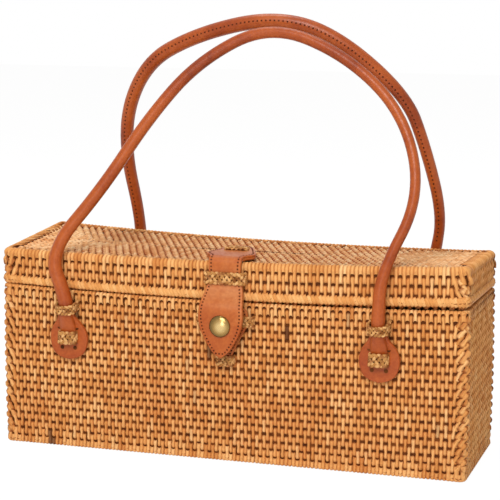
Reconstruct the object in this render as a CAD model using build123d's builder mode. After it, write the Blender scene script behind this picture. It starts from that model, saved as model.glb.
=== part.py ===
"""A lidded handbag of coiled straw with two rolled leather handles and a snap strap.

Millimetres, +Z up, the strap faces -Y. The origin is on the table under the middle of the basket.
"""
import math
import os

from build123d import *

# Basket and lid
basket_width = 320.0
basket_depth = 98.0
body_height = 111.0
body_rows = 20
lid_height = 27.0
lid_side_rows = 3
lid_top_rows = 8
lid_edge_radius = 7.0
wall = 6.0
base_thickness = 6.0
lid_top_thickness = 5.5
coil_bulge = 1.2
corner_facet = 4.0
cavity_corner_radius = 4.0

# Hinge rings at the back
hinge_spread_share = 0.4375
hinge_ring_radius = 8.0
hinge_band_width = 7.0
hinge_band_thickness = 1.8

# Handles
handle_radius = 4.5
handle_span_share = 0.675
handle_shift_width = 3.5
handle_stand_off = 6.8
handle_pivot_drop = 5.0
handle_arch_height = 180.0
handle_lean_depth = 54.0
handle_bend_share = 0.19
handle_run_share = 0.49
front_route_shares = (
    (-1.0, 0.0), (-1.11, 0.17), (-0.79, 0.41), (-0.53, 0.67), (-0.24, 0.88), (0.20, 1.02),
    (0.70, 0.91), (1.08, 0.71), (1.22, 0.43), (1.01, 0.16), (1.0, 0.0),
)
back_route_shares = (
    (-1.0, 0.0), (-0.94, 0.16), (-1.02, 0.57), (-0.81, 0.85), (-0.43, 0.97), (0.07, 1.04),
    (0.46, 0.99), (0.91, 0.76), (1.02, 0.56), (1.11, 0.30), (1.06, 0.13), (1.0, 0.0),
)

# Handle tabs
leather = 2.5
tab_width = 32.0
tab_height = 33.0
tab_shoulder_share = 0.50
tab_toe_share = 0.55
tab_round_share = 0.62
tab_toe_radius = 7.0
roll_end_radius = 4.2
roll_end_rise = 5.0

# Braided bands
strand_width = 2.6
band_thickness = 1.8
strand_bulge = 0.5
strand_groove = 0.3
band_bevel = 1.2
ring_strands = 3
tab_band_strands = 4
tab_band_span = 13.0
tab_band_rise = 15.0
tab_band_stand_off = 9.0

# Closing strap
strap_thickness = 3.2
strap_neck_width = 22.0
strap_leaf_width = 37.6
strap_head_width = 35.4
strap_head_length = 38.0
strap_head_widest = 10.0
strap_head_corner = 3.0
strap_head_toe_width = 14.0
strap_head_toe_radius = 6.0
strap_tip_drop_height = 21.4
strap_widest_rise_height = 6.0
strap_tip_width = 11.0
strap_tip_radius = 5.0
strap_round_share = 0.80
strap_bend_radius = 12.0
strap_slope_rise_height = 11.0
keeper_strands = 4
keeper_span = 25.4
keeper_share = 0.526
head_band_strands = 3
head_band_span = 14.0
head_band_reach = 24.0

# Stud tab and snap
stud_tab_width = 35.5
stud_tab_top_height = 12.0
stud_tab_widest_height = 3.0
stud_tab_toe_height = 25.0
stud_tab_toe_width = 8.0
stud_tab_toe_radius = 3.0
stud_tab_round_share = 0.55
stud_tab_top_share = 0.80
side_band_strands = 3
side_band_span = 8.0
side_band_height = 2.0
toe_band_strands = 3
toe_band_span = 13.0
snap_drop_height = 16.0
cap_radius = 7.25
cap_dome_height = 2.4
cap_rim_height = 0.8
cap_dome_shares = ((0.88, 0.36), (0.62, 0.74), (0.30, 0.95))
rivet_radius = 1.6
socket_radius = 5.5
socket_height = 2.2
socket_bore_radius = 3.4
socket_bore_depth = 1.4
stud_flange_radius = 5.0
stud_flange_height = 0.8
stud_neck_radius = 2.4
stud_head_radius = 3.0
stud_head_height = 1.4
stud_height = 4.2

# Clearances
seam_gap = 0.3
seat_gap = 0.3
pivot_gap = 0.3
slot_gap = 0.3
snap_gap = 0.3
swing_gap = 0.8

# Derived places
half_width = basket_width / 2
half_depth = basket_depth / 2
lid_bottom = body_height + seam_gap
lid_top = lid_bottom + lid_height
hinge_y = half_depth + seam_gap
hinge_z = body_height + seam_gap / 2
hinge_half_spread = basket_width * hinge_spread_share / 2
hinge_axis = Axis((0, hinge_y, hinge_z), (1, 0, 0))
seat_y = half_depth + seat_gap
handle_half_span = basket_width * handle_span_share / 2
handle_y = seat_y + handle_stand_off
pivot_z = body_height - handle_pivot_drop
neck_top = pivot_z - handle_radius - swing_gap
ring_height = ring_strands * strand_width
strap_top = lid_top + seat_gap + strap_thickness / 2
strap_front = -seat_y - strap_thickness / 2
keeper_z = lid_bottom + lid_height * keeper_share
strap_split = keeper_z - keeper_strands * strand_width / 2 - seat_gap
tongue_z = strap_split - pivot_gap - strap_thickness / 2
snap_z = body_height - snap_drop_height
strap_slope_z = snap_z + strap_slope_rise_height
strap_widest_z = snap_z + strap_widest_rise_height
strap_tip_z = snap_z - strap_tip_drop_height
stud_tab_top_z = snap_z + stud_tab_top_height
stud_tab_widest_z = snap_z + stud_tab_widest_height
stud_tab_toe_z = snap_z - stud_tab_toe_height
side_band_z = snap_z + side_band_height
socket_seat = leather + stud_height + snap_gap
tongue_seat = socket_seat + socket_height
tongue_y = -seat_y - tongue_seat - strap_thickness / 2
ring_z = neck_top - pivot_gap - ring_height / 2
tab_top = ring_z - ring_height / 2 - pivot_gap
tab_bottom = tab_top - tab_height + ring_height / 2
facet_half = (half_width + half_depth - corner_facet) / math.sqrt(2)
up = (0, 0, 1)
on_seat = (Align.CENTER, Align.CENTER, Align.MIN)

os.makedirs("parts", exist_ok=True)


def save(builder, name):
    """Name a finished part and write it out."""
    builder.part.label = name
    export_step(builder.part, f"parts/{name}.step")


def coil_run(start, end, rows):
    """Draw a run of coil rows as arcs that bulge to the right of the way from start to end."""
    first = Vector(start)
    step = (Vector(end) - first) / rows
    outward = Vector(step.Y, -step.X).normalized() * coil_bulge
    for row in range(rows):
        low = first + step * row
        high = first + step * (row + 1)
        ThreePointArc(low, (low + high) / 2 + outward, high)


def body_section(half_extent):
    """Draw the upright section of the basket between two coiled sides."""
    groove = half_extent - coil_bulge
    with BuildLine() as outline:
        coil_run((groove, 0), (groove, body_height), body_rows)
        Line((groove, body_height), (-groove, body_height))
        coil_run((-groove, body_height), (-groove, 0), body_rows)
        Line((-groove, 0), (groove, 0))
    make_face(outline.edges())


def lid_section(half_extent, inner, groove_depth):
    """Draw the upright section of the lid, with coil rows on top down to the inner distance."""
    groove = half_extent - coil_bulge
    shoulder = half_extent - lid_edge_radius
    edge_z = lid_top - lid_edge_radius
    top_z = lid_top - groove_depth
    reach = lid_edge_radius * math.sqrt(0.5)
    with BuildLine() as outline:
        Line((-groove, lid_bottom), (groove, lid_bottom))
        coil_run((groove, lid_bottom), (groove, edge_z), lid_side_rows)
        ThreePointArc((groove, edge_z), (shoulder + reach, edge_z + reach), (shoulder, top_z))
        if inner < shoulder:
            coil_run((shoulder, top_z), (inner, top_z), lid_top_rows)
            coil_run((-inner, top_z), (-shoulder, top_z), lid_top_rows)
        if inner > 0:
            Line((inner, top_z), (-inner, top_z))
        ThreePointArc((-shoulder, top_z), (-shoulder - reach, edge_z + reach), (-groove, edge_z))
        coil_run((-groove, edge_z), (-groove, lid_bottom), lid_side_rows)
    make_face(outline.edges())


def facet_plane(side):
    """The upright plane across the basket along one diagonal."""
    return Plane((0, 0, 0), x_dir=(1, side, 0), z_dir=(side, -1, 0))


def hinge_band(gap, mode):
    """Turn the section of both hinge bands about the hinge."""
    with BuildSketch(Plane.XY.offset(hinge_z)) as section:
        with Locations((-hinge_half_spread, hinge_y + hinge_ring_radius), (hinge_half_spread, hinge_y + hinge_ring_radius)):
            Rectangle(hinge_band_width + 2 * gap, hinge_band_thickness + 2 * gap)
    revolve(section.sketch, axis=hinge_axis, mode=mode)


def wall_seat(side, x, z):
    """A plane on the front (-1) or back (1) wall, x along the wall, y up and z outward."""
    return Plane((x, side * seat_y, z), x_dir=(-side, 0, 0), z_dir=(0, side, 0))


def braided_band(seat, span, stand_off, strands):
    """A band of ridged strands that rises from the seat, crosses over and goes back down."""
    run = Plane(seat.origin, x_dir=seat.x_dir, z_dir=-seat.y_dir)
    first = (1 - strands) * strand_width / 2
    band_run(run, span, stand_off, band_thickness - strand_bulge, strands * strand_width / 2)
    for strand in range(strands):
        middle = run.offset(first + strand * strand_width)
        band_run(middle, span, stand_off, band_thickness, strand_width / 2 - strand_groove)


def band_run(run, span, stand_off, thickness, reach):
    """Draw the bridge-shaped side view of a band and extrude it to both sides."""
    inner = span / 2
    outer = inner + thickness
    top = stand_off + thickness
    with BuildSketch(run) as bridge:
        with BuildLine():
            Polyline(
                (-outer, 0), (-inner, 0), (-inner, stand_off), (inner, stand_off), (inner, 0), (outer, 0),
                (outer, top - band_bevel), (outer - band_bevel, top), (band_bevel - outer, top),
                (-outer, top - band_bevel), close=True,
            )
        make_face()
    extrude(bridge.sketch, amount=reach, both=True)


def handle_route(side, shift, shares):
    """The points of a handle's middle line, upright past the lid and then leaning inward."""
    points = []
    for along, height in shares:
        lean = max(0, height - handle_bend_share) * handle_lean_depth
        points.append(Vector(shift + along * handle_half_span, side * (handle_y - lean), pivot_z + height * handle_arch_height))
    return points


def bend_radii(points, run_share):
    """The radius at each inner point that takes up a share of the shorter of its two runs."""
    radii = []
    for before, here, after in zip(points, points[1:], points[2:]):
        incoming = here - before
        outgoing = after - here
        turn = math.radians(incoming.get_angle(outgoing))
        run = min(incoming.length, outgoing.length) * run_share
        radii.append(run / math.tan(turn / 2))
    return radii


def rolled_handle(points):
    """Turn or extrude the round roll along each bend and run, and round off both ends about the pivot."""
    with BuildLine() as route:
        FilletPolyline(*points, radius=bend_radii(points, handle_run_share))
    seam = (points[1] - points[0]).cross(Vector(0, 1, 0))
    for run in route.wire().order_edges():
        with BuildSketch(Plane(run @ 0, x_dir=seam, z_dir=run % 0)) as section:
            Circle(handle_radius)
        if run.geom_type == GeomType.CIRCLE:
            bend_axis = Axis(run.arc_center, (run % 0).cross(run % 1))
            bend = math.degrees(run.length / run.radius)
            revolve(section.sketch, axis=bend_axis, revolution_arc=bend)
            seam = seam.rotate(bend_axis, bend)
        else:
            extrude(section.sketch, amount=run.length)
    with Locations(points[0], points[-1]):
        Sphere(handle_radius)


def leather_leaf(plane, right_edge, round_share, toe_radius):
    """Draw a leaf from the top, shoulder and toe of its right edge, and round its shoulders and toe."""
    right = [Vector(across, height) for across, height in right_edge]
    left = [Vector(-point.X, point.Y) for point in reversed(right)]
    with BuildSketch(plane) as leaf:
        with BuildLine():
            Polyline(*right, *left, close=True)
        make_face()
        fillet(leaf.vertices().group_by(Axis.Y)[1], bend_radii(right, round_share)[0])
        fillet(leaf.vertices().group_by(Axis.Y)[0], toe_radius)
    return leaf.sketch


def handle_tab(side, x):
    """A flat leather leaf on the wall, with the roll running down into it."""
    seat = wall_seat(side, x, 0)
    half = tab_width / 2
    shoulder_z = tab_bottom + (tab_top - tab_bottom) * tab_shoulder_share
    band_z = tab_bottom + tab_band_rise
    edge = ((handle_radius, tab_top), (half, shoulder_z), (half * tab_toe_share, tab_bottom))
    extrude(leather_leaf(seat, edge, tab_round_share, tab_toe_radius), amount=leather)
    with BuildSketch(Plane((x, side * handle_y, tab_top))) as roll_top:
        Circle(handle_radius)
    extrude(roll_top.sketch, amount=neck_top - tab_top)
    roll_end = Vector(x, side * seat_y, tab_bottom + roll_end_rise)
    roll_way = Vector(x, side * handle_y, tab_top) - roll_end
    with Locations(Plane(roll_end, x_dir=(1, 0, 0), z_dir=roll_way)):
        Cylinder(roll_end_radius, roll_way.length, align=on_seat)
    with BuildSketch(seat) as behind:
        with Locations((0, tab_bottom)):
            Rectangle(tab_width, 2 * tab_height)
    extrude(behind.sketch, amount=-handle_stand_off, mode=Mode.SUBTRACT)
    with BuildSketch(seat) as slots:
        for way in (-1, 1):
            with Locations((way * (tab_band_span + band_thickness) / 2, band_z)):
                Rectangle(band_thickness + 2 * slot_gap, tab_band_strands * strand_width + 2 * slot_gap)
    extrude(slots.sketch, amount=leather, mode=Mode.SUBTRACT)


# Basket body: coiled rows on every side, mitred at the corners, with a flat underside
with BuildPart() as basket_body:
    with BuildSketch(Plane.YZ):
        body_section(half_depth)
    extrude(amount=half_width, both=True)
    with BuildSketch(Plane.XZ):
        body_section(half_width)
    extrude(amount=half_depth, both=True, mode=Mode.INTERSECT)
    for diagonal in (-1, 1):
        with BuildSketch(facet_plane(diagonal)):
            body_section(facet_half)
        extrude(amount=half_width, both=True, mode=Mode.INTERSECT)
    with BuildSketch(Plane.XY.offset(base_thickness)):
        RectangleRounded(basket_width - 2 * wall, basket_depth - 2 * wall, cavity_corner_radius)
    extrude(amount=body_height - base_thickness, mode=Mode.SUBTRACT)
    hinge_band(slot_gap, Mode.SUBTRACT)
save(basket_body, "basket_body")

# Lid: rows along the basket in the middle, rows across it in the two end triangles
with BuildPart() as lid_long_rows:
    with BuildSketch(Plane.YZ):
        lid_section(half_depth, 0, coil_bulge)
    extrude(amount=half_width, both=True)
    with BuildSketch(Plane.XY.offset(lid_bottom)):
        with BuildLine():
            Polyline(
                (-half_width, -half_depth), (half_width, -half_depth), (half_width - half_depth, 0),
                (half_width, half_depth), (-half_width, half_depth), (half_depth - half_width, 0), close=True,
            )
        make_face()
    extrude(amount=lid_height, mode=Mode.INTERSECT)

with BuildPart() as lid_end_rows:
    with BuildSketch(Plane.XZ):
        lid_section(half_width, half_width - half_depth, coil_bulge)
    extrude(amount=half_depth, both=True)
    with BuildSketch(Plane.XY.offset(lid_bottom)):
        for end in (-1, 1):
            with BuildLine():
                Polyline(
                    (end * half_width, -half_depth), (end * half_width, half_depth),
                    (end * (half_width - half_depth), 0), close=True,
                )
            make_face()
    extrude(amount=lid_height, mode=Mode.INTERSECT)

with BuildPart() as lid_shell:
    add(lid_long_rows.part)
    add(lid_end_rows.part)
    for diagonal in (-1, 1):
        with BuildSketch(facet_plane(diagonal)):
            lid_section(facet_half, facet_half - lid_edge_radius, 0)
        extrude(amount=half_width, both=True, mode=Mode.INTERSECT)
    with BuildSketch(Plane.XY.offset(lid_bottom)):
        RectangleRounded(basket_width - 2 * wall, basket_depth - 2 * wall, cavity_corner_radius)
    extrude(amount=lid_height - lid_top_thickness, mode=Mode.SUBTRACT)
    hinge_band(slot_gap, Mode.SUBTRACT)
save(lid_shell, "lid_shell")

# Hinge bands: two braided loops through the rims, round about the hinge
with BuildPart() as hinge_bands:
    hinge_band(0, Mode.ADD)
save(hinge_bands, "hinge_bands")

# Handles: each is one roll that swings about the line through its two pivots
with BuildPart() as front_handle:
    rolled_handle(handle_route(-1, -handle_shift_width, front_route_shares))
save(front_handle, "front_handle")

with BuildPart() as back_handle:
    rolled_handle(handle_route(1, handle_shift_width, back_route_shares))
save(back_handle, "back_handle")

# Handle tabs, the rings round their necks and the bands that hold them on
sites = (
    ("front_left", -1, -handle_shift_width - handle_half_span), ("front_right", -1, handle_half_span - handle_shift_width),
    ("back_left", 1, handle_shift_width - handle_half_span), ("back_right", 1, handle_shift_width + handle_half_span),
)
for name, side, x in sites:
    with BuildPart() as tab:
        handle_tab(side, x)
    save(tab, f"{name}_tab")
    with BuildPart() as neck_ring:
        ring_stand_off = handle_stand_off + handle_radius + seat_gap
        braided_band(wall_seat(side, x, ring_z), 2 * (handle_radius + seat_gap), ring_stand_off, ring_strands)
    save(neck_ring, f"{name}_neck_ring")
    with BuildPart() as tab_band:
        band_seat = wall_seat(side, x, tab_bottom + tab_band_rise)
        braided_band(band_seat, tab_band_span, tab_band_stand_off, tab_band_strands)
    save(tab_band, f"{name}_tab_band")

# Strap head: a leaf on the lid that bends over the edge and runs down behind the keeper
with BuildPart() as strap_head:
    with BuildSketch(Plane.YZ):
        with BuildLine() as head_line:
            FilletPolyline(
                (strap_head_length - half_depth, strap_top), (strap_front, strap_top), (strap_front, strap_split),
                radius=lid_edge_radius + seat_gap + strap_thickness / 2,
            )
        trace(head_line.edges(), strap_thickness)
    extrude(amount=strap_head_width / 2, both=True)
    with BuildSketch(Plane.XY) as head_leaf:
        with BuildLine():
            Polyline(
                (strap_neck_width / 2, tongue_y), (strap_neck_width / 2, lid_edge_radius - half_depth),
                (strap_head_width / 2, strap_head_widest - half_depth),
                (strap_head_toe_width / 2, strap_head_length - half_depth),
                (-strap_head_toe_width / 2, strap_head_length - half_depth),
                (-strap_head_width / 2, strap_head_widest - half_depth),
                (-strap_neck_width / 2, lid_edge_radius - half_depth), (-strap_neck_width / 2, tongue_y), close=True,
            )
        make_face()
        fillet(head_leaf.vertices().group_by(Axis.Y)[2], strap_head_corner)
        fillet(head_leaf.vertices().group_by(Axis.Y)[-1], strap_head_toe_radius)
    extrude(amount=strap_top + strap_thickness, mode=Mode.INTERSECT)
    with BuildSketch(Plane.XY.offset(lid_top)):
        for way in (-1, 1):
            with Locations((way * (head_band_span + band_thickness) / 2, head_band_reach - half_depth)):
                Rectangle(band_thickness + 2 * slot_gap, head_band_strands * strand_width + 2 * slot_gap)
    extrude(amount=seat_gap + strap_thickness, mode=Mode.SUBTRACT)
save(strap_head, "strap_head")

with BuildPart() as head_band:
    head_seat = Plane((0, head_band_reach - half_depth, lid_top + seat_gap), x_dir=(1, 0, 0), z_dir=up)
    braided_band(head_seat, head_band_span, strap_thickness + seat_gap, head_band_strands)
save(head_band, "head_band")

with BuildPart() as strap_keeper:
    braided_band(wall_seat(-1, 0, keeper_z), keeper_span, strap_thickness + seat_gap, keeper_strands)
save(strap_keeper, "strap_keeper")

# Strap tongue: turns out from under the keeper and hangs in front of the stud
with BuildPart() as strap_tongue:
    with BuildSketch(Plane.YZ):
        with BuildLine() as tongue_line:
            FilletPolyline(
                (strap_front, tongue_z), (tongue_y, strap_slope_z), (tongue_y, strap_tip_z),
                radius=strap_bend_radius,
            )
        trace(tongue_line.edges(), strap_thickness)
        with Locations((strap_front, tongue_z)):
            Circle(strap_thickness / 2)
    extrude(amount=strap_leaf_width / 2, both=True)
    tongue_edge = (
        (strap_neck_width / 2, strap_split), (strap_leaf_width / 2, strap_widest_z), (strap_tip_width / 2, strap_tip_z),
    )
    tongue_leaf = leather_leaf(Plane.XZ, tongue_edge, strap_round_share, strap_tip_radius)
    extrude(tongue_leaf, amount=strap_thickness - tongue_y, mode=Mode.INTERSECT)
    with Locations(wall_seat(-1, 0, snap_z).offset(tongue_seat)):
        Cylinder(rivet_radius + slot_gap, 2 * strap_thickness, mode=Mode.SUBTRACT)
save(strap_tongue, "strap_tongue")

# Stud tab: a leather leaf on the front wall, held by three braided bands
with BuildPart() as stud_tab:
    stud_tab_edge = (
        (stud_tab_width / 2 * stud_tab_top_share, stud_tab_top_z), (stud_tab_width / 2, stud_tab_widest_z),
        (stud_tab_toe_width / 2, stud_tab_toe_z),
    )
    extrude(leather_leaf(wall_seat(-1, 0, 0), stud_tab_edge, stud_tab_round_share, stud_tab_toe_radius), amount=leather)
    with BuildSketch(wall_seat(-1, 0, 0)):
        for way in (-1, 1):
            with Locations((way * (stud_tab_width - side_band_span - band_thickness) / 2, side_band_z)):
                Rectangle(band_thickness + 2 * slot_gap, side_band_strands * strand_width + 2 * slot_gap)
        with Locations((0, snap_z)):
            Circle(rivet_radius + slot_gap)
    extrude(amount=leather, mode=Mode.SUBTRACT)
save(stud_tab, "stud_tab")

with BuildPart() as stud_tab_bands:
    for way in (-1, 1):
        side_seat = wall_seat(-1, way * stud_tab_width / 2, side_band_z)
        braided_band(side_seat, side_band_span, leather + seat_gap, side_band_strands)
    braided_band(wall_seat(-1, 0, stud_tab_toe_z), toe_band_span, leather + seat_gap, toe_band_strands)
save(stud_tab_bands, "stud_tab_bands")

# Snap: the stud on its tab, the socket behind the tongue and the domed cap in front
snap_seat = wall_seat(-1, 0, snap_z)
with BuildPart() as snap_stud:
    with Locations(snap_seat):
        Cylinder(rivet_radius, leather, align=on_seat)
    with Locations(snap_seat.offset(leather)):
        Cylinder(stud_flange_radius, stud_flange_height, align=on_seat)
        Cylinder(stud_neck_radius, stud_height, align=on_seat)
    with Locations(snap_seat.offset(leather + stud_height - stud_head_height)):
        Cylinder(stud_head_radius, stud_head_height, align=on_seat)
    chamfer(snap_stud.faces().sort_by(Axis.Y)[0].edges(), stud_head_height / 2)
save(snap_stud, "snap_stud")

with BuildPart() as snap_socket:
    with Locations(snap_seat.offset(socket_seat)):
        Cylinder(socket_radius, socket_height, align=on_seat)
        Cylinder(socket_bore_radius, socket_bore_depth, align=on_seat, mode=Mode.SUBTRACT)
save(snap_socket, "snap_socket")

with BuildPart() as snap_cap:
    cap_origin = (0, -seat_y - tongue_seat - strap_thickness, snap_z)
    with BuildSketch(Plane(cap_origin, x_dir=(1, 0, 0), z_dir=(0, 0, -1))):
        with BuildLine():
            Polyline(
                (0, cap_rim_height + cap_dome_height), (0, -strap_thickness), (rivet_radius, -strap_thickness), (rivet_radius, 0),
                (cap_radius, 0), (cap_radius, cap_rim_height),
                *((cap_radius * across, cap_rim_height + cap_dome_height * rise) for across, rise in cap_dome_shares), close=True,
            )
        make_face()
    revolve(axis=Axis(cap_origin, (0, -1, 0)))
save(snap_cap, "snap_cap")
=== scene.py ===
# %% [markdown]
# # A lidded straw handbag
# The bag is a long box of coiled vine with a lid, two rolled leather handles and a strap that snaps shut.
# Its solids come in as a fixed frame, in metres. They stay hidden: each one is dressed here with a piece of
# its own, woven, plaited, rolled or turned; all but the strap and the handles ride on the same body as their
# solid. Sizes below are in millimetres, as on a drawing, and become metres where a mesh is made.

# %% Load the frame and read its sizes
import math
from functools import partialmethod

import bmesh
import bpy
import numpy as np
from mathutils import Matrix, Vector


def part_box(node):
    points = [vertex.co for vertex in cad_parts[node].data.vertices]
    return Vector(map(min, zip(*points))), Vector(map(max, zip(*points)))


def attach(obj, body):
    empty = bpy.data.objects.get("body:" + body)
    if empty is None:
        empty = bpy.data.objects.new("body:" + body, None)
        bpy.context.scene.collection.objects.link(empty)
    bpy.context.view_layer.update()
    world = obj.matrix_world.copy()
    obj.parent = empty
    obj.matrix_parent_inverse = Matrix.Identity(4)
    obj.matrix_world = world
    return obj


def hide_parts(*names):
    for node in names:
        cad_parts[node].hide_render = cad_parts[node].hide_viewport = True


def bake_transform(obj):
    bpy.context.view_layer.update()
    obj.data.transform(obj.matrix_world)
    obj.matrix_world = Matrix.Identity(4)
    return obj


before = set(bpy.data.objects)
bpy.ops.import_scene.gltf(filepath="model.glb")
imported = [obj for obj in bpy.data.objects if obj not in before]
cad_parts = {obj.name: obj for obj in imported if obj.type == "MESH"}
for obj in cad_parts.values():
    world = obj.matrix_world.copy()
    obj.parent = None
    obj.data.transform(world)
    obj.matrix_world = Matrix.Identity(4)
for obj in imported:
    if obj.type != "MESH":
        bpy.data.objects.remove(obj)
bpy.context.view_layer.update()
MM = 0.001


def size_of(node):
    """The lowest and highest corner of a solid."""
    return [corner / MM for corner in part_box(node)]


half_width, half_depth, rim_z = size_of("basket_body")[1]
lid_z, top_z = (corner.z for corner in size_of("lid_shell"))
snap_z = sum(corner.z for corner in size_of("snap_cap")) / 2
wall = 6
print("basket and lid", [round(v, 1) for v in (half_width, half_depth, rim_z, lid_z, top_z)])

# %% [markdown]
# ## The camera
# The photograph was taken from the front, a little to the right and a little above, with a long lens.
# The three axes of the camera are worked out from those two angles and set as the columns of its matrix,
# which is plainer than aiming it at an empty.

# %% Set up the camera
def add_object(name, data):
    """An object for a mesh, curve, lamp or camera, linked into the scene."""
    thing = bpy.data.objects.new(name, data)
    bpy.context.scene.collection.objects.link(thing)
    return thing


def aim_camera(azimuth, elevation, roll, place, lens):
    """Put a camera at a place, turned by its azimuth, elevation and roll in degrees."""
    turn, rise, tip = (math.radians(angle) for angle in (azimuth, elevation, roll))
    back = Vector((math.sin(turn) * math.cos(rise), -math.cos(turn) * math.cos(rise), math.sin(rise)))
    right = Vector((math.cos(turn), math.sin(turn), 0))
    upward = back.cross(right)
    level = right * math.cos(tip) + upward * math.sin(tip)
    plumb = upward * math.cos(tip) - right * math.sin(tip)
    camera = add_object("camera", bpy.data.cameras.new("camera"))
    camera.data.lens = lens
    camera.matrix_world = Matrix.Translation(place) @ Matrix((level, plumb, back)).transposed().to_4x4()
    bpy.context.scene.camera = camera
    return camera


camera_place = Vector((0.3517, -1.1069, 0.3299))
camera = aim_camera(azimuth=17.58, elevation=9.49, roll=0.16, place=camera_place, lens=124.24)
bpy.context.scene.view_settings.view_transform = "Standard"
print("camera at", [round(v, 3) for v in camera.location], "lens", camera.data.lens)

# %% [markdown]
# ## Wiring nodes from code
# Every finish and every weave below is a node tree. A small class keeps them readable: it stands for what
# comes out of a node. Sums on it are written as usual, and each adds a Math or Vector Math node. One function
# adds any other node and fills its inputs with such outputs or with plain values.

# %% Helpers for node trees
class Flow:
    """What comes out of a node: its first output, or another by its name in brackets."""

    def __init__(self, tree, node, socket=None):
        self.tree = tree
        self.node = node
        self.socket = socket or next((each for each in node.outputs if each.enabled), None)

    def __getitem__(self, name):
        return Flow(self.tree, self.node, self.node.outputs[name])

    def of(self, operation, *others):
        """The result of a named operation on this and other numbers or vectors."""
        kind = "ShaderNodeVectorMath" if self.socket.type == "VECTOR" else "ShaderNodeMath"
        keys = (0, "Scale") if operation == "SCALE" else (0, 1)
        return add(self.tree, kind, dict(zip(keys, (self, *others))), operation=operation)

    def __mul__(self, other):
        scaled = self.socket.type == "VECTOR" and not isinstance(other, tuple)
        return self.of("SCALE" if scaled else "MULTIPLY", other)

    def __rtruediv__(self, number):
        return add(self.tree, "ShaderNodeMath", {0: number, 1: self}, operation="DIVIDE")

    __add__ = partialmethod(of, "ADD")
    __sub__ = partialmethod(of, "SUBTRACT")
    __truediv__ = partialmethod(of, "DIVIDE")
    __mod__ = partialmethod(of, "MODULO")
    __gt__ = partialmethod(of, "GREATER_THAN")
    __lt__ = partialmethod(of, "LESS_THAN")
    __abs__ = partialmethod(of, "ABSOLUTE")


def add(tree, kind, values=None, **settings):
    """Add a node, set its options, then fill its inputs by name or number."""
    node = tree.nodes.new(kind)
    for option, value in settings.items():
        setattr(node, option, value)
    for key, value in (values or {}).items():
        named = [each for each in node.inputs if each.enabled and each.name == key]
        socket = named[0] if named else node.inputs[key]
        if isinstance(value, Flow):
            tree.links.new(value.socket, socket)
        else:
            socket.default_value = value
    return Flow(tree, node)


def spread(value, low, high, to_low=0.0, to_high=1.0):
    """A smooth Map Range that clamps."""
    values = {"Value": value, "From Min": low, "From Max": high, "To Min": to_low, "To Max": to_high}
    return add(value.tree, "ShaderNodeMapRange", values, interpolation_type="SMOOTHSTEP")


def new_tree(name, kind, inputs, outputs=(("Geometry", "Geometry"),)):
    """A node tree, and what its inputs give by name, from groups of names that start with their sort."""
    tree = bpy.data.node_groups.new(name, kind)
    for way, groups in (("INPUT", inputs), ("OUTPUT", outputs)):
        for sort, *labels in groups:
            plain = sort.replace("Length", "Float")
            for label in labels:
                socket = tree.interface.new_socket(label, in_out=way, socket_type=f"NodeSocket{plain}")
                if sort == "Length":
                    socket.subtype = "DISTANCE"
    entry = tree.nodes.new("NodeGroupInput")
    return tree, {socket.name: Flow(tree, entry, socket) for socket in entry.outputs if socket.name}


def end_tree(tree, values):
    """Link results to a tree's outputs."""
    add(tree, "NodeGroupOutput", values)
    return tree


def tone(red, green, blue):
    """A screen colour from 0 to 255 as the linear colour that nodes take."""
    linear = []
    for v in (red, green, blue):
        linear.append(v / 255 / 12.92 if v <= 10 else ((v / 255 + 0.055) / 1.055) ** 2.4)
    return (*linear, 1.0)


print("node helpers ready")

# %% [markdown]
# ## Floor and light
# The bag stands on white paper under soft light. The paper is a pale floor that also glows for the camera
# alone, so it reads as white and still holds a soft shadow. A wide lamp beside the camera gives the shape
# its shading, a tall strip puts a streak on brass and leather, a lamp above lights the lid, and the world
# adds an even base.

# %% Lay the floor and hang the lamps
def empty_tree(owner):
    """The cleared node tree of a material or the world."""
    owner.use_nodes = True
    owner.node_tree.nodes.clear()
    return owner.node_tree


def seen_directly(tree):
    """1 for rays that come from the camera, or by way of a mirror or glass."""
    rays = add(tree, "ShaderNodeLightPath")
    first = rays["Is Camera Ray"].of("MAXIMUM", rays["Is Glossy Ray"])
    return first.of("MAXIMUM", rays["Is Transmission Ray"])


def hang_lamp(name, place, aim, width, height, power):
    """A rectangular area lamp that faces a point."""
    data = bpy.data.lights.new(name, "AREA")
    data.shape = "RECTANGLE"
    data.size = width
    data.size_y = height
    data.energy = power
    lamp = add_object(name, data)
    lamp.location = place
    lamp.rotation_euler = (Vector(aim) - Vector(place)).to_track_quat("-Z", "Y").to_euler()


def new_mesh(name, points, edges=(), faces=(), unit=MM):
    """An object with a mesh through points."""
    mesh = bpy.data.meshes.new(name)
    mesh.from_pydata([[v * unit for v in point] for point in points], edges, faces)
    return add_object(name, mesh)


paper = bpy.data.materials.new("white_paper")
tree = empty_tree(paper)
pale = add(tree, "ShaderNodeBsdfDiffuse", {"Color": (0.88, 0.88, 0.88, 1)})
glow = add(tree, "ShaderNodeEmission", {"Color": (1, 1, 1, 1), "Strength": 1.08})
both = add(tree, "ShaderNodeMixShader", {0: seen_directly(tree) * 0.88, 1: pale, 2: glow})
add(tree, "ShaderNodeOutputMaterial", {"Surface": both})
reach = 4000
corners = ((-reach, -reach, 0), (reach, -reach, 0), (reach, reach, 0), (-reach, reach, 0))
floor = new_mesh("floor", corners, faces=[(0, 1, 2, 3)])
floor.data.materials.append(paper)

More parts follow.
